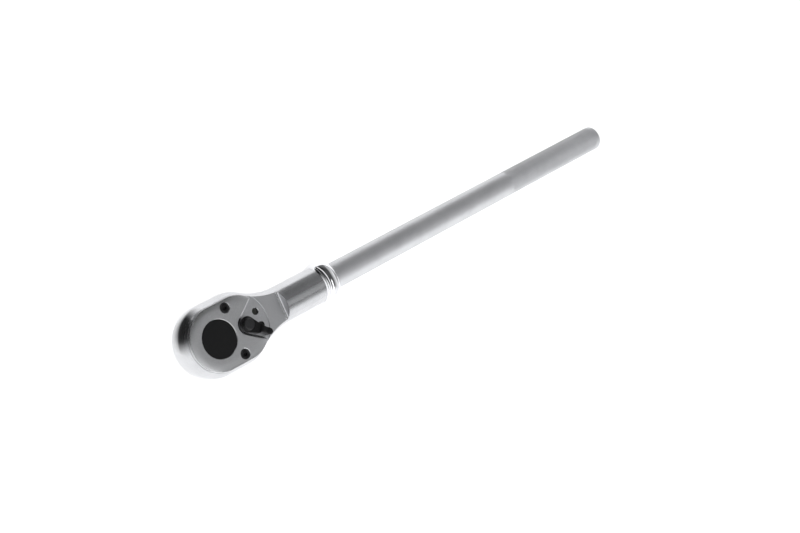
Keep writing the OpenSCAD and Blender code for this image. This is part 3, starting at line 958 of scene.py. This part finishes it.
def plug_piece():
    """Plug pressed into the tube, with a rounded end and a fine seam."""
    seam, end = tube_box[1].x, plug_box[1].x
    spigot_r = TUBE_R - 3.03 * MM
    round_r = 3.8 * MM
    lead, seam_gap = 0.6 * MM, 0.12 * MM
    profile = [
        (spigot_r - lead, plug_box[0].x), (spigot_r, plug_box[0].x + lead), (spigot_r, seam),
        (TUBE_R - seam_gap, seam), (TUBE_R, seam + seam_gap),
    ]
    edge = arc(end - round_r, TUBE_R - round_r, round_r, 90, 8, 12)
    profile += [(r, x) for x, r in edge]
    profile += [(TUBE_R * 0.45, end - 0.02 * MM), (TUBE_R * 0.1, end)]
    piece = lathe("handle_end", profile, (0, 0, AXIS_Z), "X")
    shade(piece, tube_chrome)
    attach(piece, "handle")
    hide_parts("end_plug")


# ---------------------------------------------------------------------------------------------
# Put the pieces together
# ---------------------------------------------------------------------------------------------
head_piece()
plate_piece()
screw_piece("plate_screw_left", "cover_screw_left", 1)
screw_piece("plate_screw_right", "cover_screw_right", -1)
lever_piece()
collar_piece()
tube_piece()
plug_piece()

CAD_FINISH = {
    "ratchet_wheel": black_steel,
    "wheel_thrust_washer": bronze,
    "wheel_friction_ring": spring_steel,
    "socket_ball": bare_steel,
    "socket_ball_spring": spring_steel,
    "cam_spindle": black_lever,
    "spindle_seal": nitrile,
    "pawl_left": bare_steel,
    "pawl_right": bare_steel,
    "pawl_pin_left": dark_steel,
    "pawl_pin_right": dark_steel,
    "pawl_spring": spring_steel,
    "handle_friction_ring": spring_steel,
}
for node, finish in CAD_FINISH.items():
    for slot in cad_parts[node].material_slots:
        slot.material = finish


# ---------------------------------------------------------------------------------------------
# Floor, light and camera
# ---------------------------------------------------------------------------------------------
def floor():
    level = wheel_box[0].z - 0.2 * MM
    size = 30
    corners = [(-size, -size, level), (size, -size, level), (size, size, level), (-size, size, level)]
    piece = plain_object("floor", corners, [(0, 1, 2, 3)])
    made = Surface("floor_paint", metallic=0.0)
    made.colour(made.blend(made.noise(0.2, 2), (0.78, 0.78, 0.78), (0.80, 0.80, 0.80)))
    made.shader.inputs["Roughness"].default_value = 0.9
    made.shader.inputs["Specular IOR Level"].default_value = 0.0
    made.shader.inputs["Emission Color"].default_value = (1, 1, 1, 1)
    made.shader.inputs["Emission Strength"].default_value = 0.8
    piece.data.materials.append(made.material)


def painted_floor_shadow():
    """Painted shadow of the head on the floor beside it: a dark fan that only reflections see. It
    glows as bright as the lit floor close to the head and towards its sides, so the painted shadow
    fades out at its edges.
    """
    level = wheel_box[0].z
    start, far = 34 * MM, 25
    side = far * math.tan(math.radians(62))
    white = 1.15
    corners = [(start, start), (far, side), (far, -side), (start, -start)]
    piece = plain_object("painted_floor_shadow", [(x, y, level) for x, y in corners], [(0, 1, 2, 3)])
    piece.rotation_euler = (0, 0, math.radians(128))
    made = Surface("painted_floor_shadow", metallic=0.0)
    # Black base colour: the painted shadow itself
    made.shader.inputs["Base Color"].default_value = (0.002, 0.002, 0.002, 1)
    made.shader.inputs["Specular IOR Level"].default_value = 0.0
    made.shader.inputs["Emission Color"].default_value = (1, 1, 1, 1)
    # Painted glow of the lit floor, strongest close to the head and towards the sides, where the
    # painted shadow fades out
    split = made.nodes.new("ShaderNodeSeparateXYZ")
    made.links.new(made.coordinates.outputs["Object"], split.inputs[0])
    aside = made.maths("DIVIDE", split.outputs["Y"], split.outputs["X"])
    edge = made.spread(made.maths("ABSOLUTE", aside), 0.0, white, 0.52, 1.35)
    near = made.spread(split.outputs["X"], white, 0.0, 38 * MM, 62 * MM)
    made.links.new(made.maths("MAXIMUM", edge, near), made.shader.inputs["Emission Strength"])
    piece.data.materials.append(made.material)
    piece.visible_camera = False
    piece.visible_diffuse = False
    piece.visible_shadow = False


class Sky:
    """Brightness of the room round the object, as soft steps over the direction one looks in."""

    def __init__(self):
        world = bpy.data.worlds.new("studio")
        bpy.context.scene.world = world
        world.use_nodes = True
        self.nodes = world.node_tree.nodes
        self.links = world.node_tree.links
        self.direction = self.nodes.new("ShaderNodeTexCoord").outputs["Generated"]

    def along(self, axis):
        """How far the direction points along an axis, from -1 to 1."""
        node = self.nodes.new("ShaderNodeVectorMath")
        node.operation = "DOT_PRODUCT"
        self.links.new(self.direction, node.inputs[0])
        node.inputs[1].default_value = Vector(axis).normalized()
        return node.outputs["Value"]

    def ramp(self, value, start, end, low=0.0, high=1.0):
        """Goes softly from low to high as value goes from start to end."""
        node = self.nodes.new("ShaderNodeMapRange")
        node.interpolation_type = "SMOOTHSTEP"
        self.links.new(value, node.inputs["Value"])
        node.inputs["From Min"].default_value = start
        node.inputs["From Max"].default_value = end
        node.inputs["To Min"].default_value = low
        node.inputs["To Max"].default_value = high
        return node.outputs["Result"]

    def join(self, operation, first, second):
        node = self.nodes.new("ShaderNodeMath")
        node.operation = operation
        self.links.new(first, node.inputs[0])
        self.links.new(second, node.inputs[1])
        return node.outputs[0]

    def show(self, value):
        background = self.nodes["Background"]
        background.inputs["Color"].default_value = (0.985, 0.99, 1.0, 1)
        self.links.new(value, background.inputs["Strength"])


sky = Sky()
x = sky.along((1, 0, 0))
y = sky.along((0, 1, 0))
z = sky.along((0, 0, 1))

# Bright wall on the -Y side, darker towards the ceiling
side_wall = sky.ramp(sky.along((-0.342, -0.94, 0)), -0.2, 0.55, 0.01, 1.15)
under_ceiling = sky.ramp(sky.along((0.3, 0, 1)), 0.90, 0.5, 0.12, 1.0)
# Bright wall beyond the handle's end, dimmer towards +Y and straight ahead
front_wall = sky.ramp(sky.along((1, 0, -0.9)), -0.42, 0.6, 0.0, 0.95)
front_edge = sky.ramp(y, 0.65, 0.08, 0.27, 1.0)
front_end = sky.ramp(x, 0.90, 0.96, 1.0, 0.25)
front = sky.join("MULTIPLY", sky.join("MULTIPLY", front_wall, front_edge), front_end)
walls = sky.join("MAXIMUM", sky.join("MULTIPLY", side_wall, under_ceiling), front)
# Weak glow beyond the handle's end, growing towards +Y
far_glow = sky.join("MULTIPLY", sky.ramp(x, 0.57, 0.66), sky.ramp(y, -0.1, 0.8, 0.08, 0.38))
walls = sky.join("ADD", walls, far_glow)
# Dim ceiling
walls = sky.join("MAXIMUM", walls, sky.ramp(z, 0.3, 0.75, 0.0, 0.09))
# Two soft strips across the handle's direction, the wide one on the -Y side only
wide_strip = sky.join("MULTIPLY", sky.ramp(x, 0.14, 0.22, 0.0, 1.9), sky.ramp(x, 0.36, 0.29))
wide_strip = sky.join("MULTIPLY", wide_strip, sky.ramp(y, 0.05, -0.2))
thin_strip = sky.join("MULTIPLY", sky.ramp(x, -0.16, -0.12, 0.0, 1.2), sky.ramp(x, -0.02, -0.06))
sky.show(sky.join("ADD", walls, sky.join("MAXIMUM", wide_strip, thin_strip)))

floor()
# Painted shadow of the head on the floor, seen only in reflections
painted_floor_shadow()

CAMERA_PLACE = Vector((-0.7001, 0.1665, 1.2586))
CAMERA_AIM = Vector((0.2190, -0.0222, 0.0150))
CAMERA_ROLL = math.radians(75.67)
camera_data = bpy.data.cameras.new("camera")
camera_data.lens = 73.7
camera_data.sensor_width = 36
camera = bpy.data.objects.new("camera", camera_data)
bpy.context.scene.collection.objects.link(camera)
level_view = (CAMERA_AIM - CAMERA_PLACE).to_track_quat("-Z", "Y")
camera.location = CAMERA_PLACE
camera.rotation_mode = "QUATERNION"
camera.rotation_quaternion = level_view @ Matrix.Rotation(CAMERA_ROLL, 3, "Z").to_quaternion()
bpy.context.scene.camera = camera
bpy.context.scene.view_settings.view_transform = "Standard"
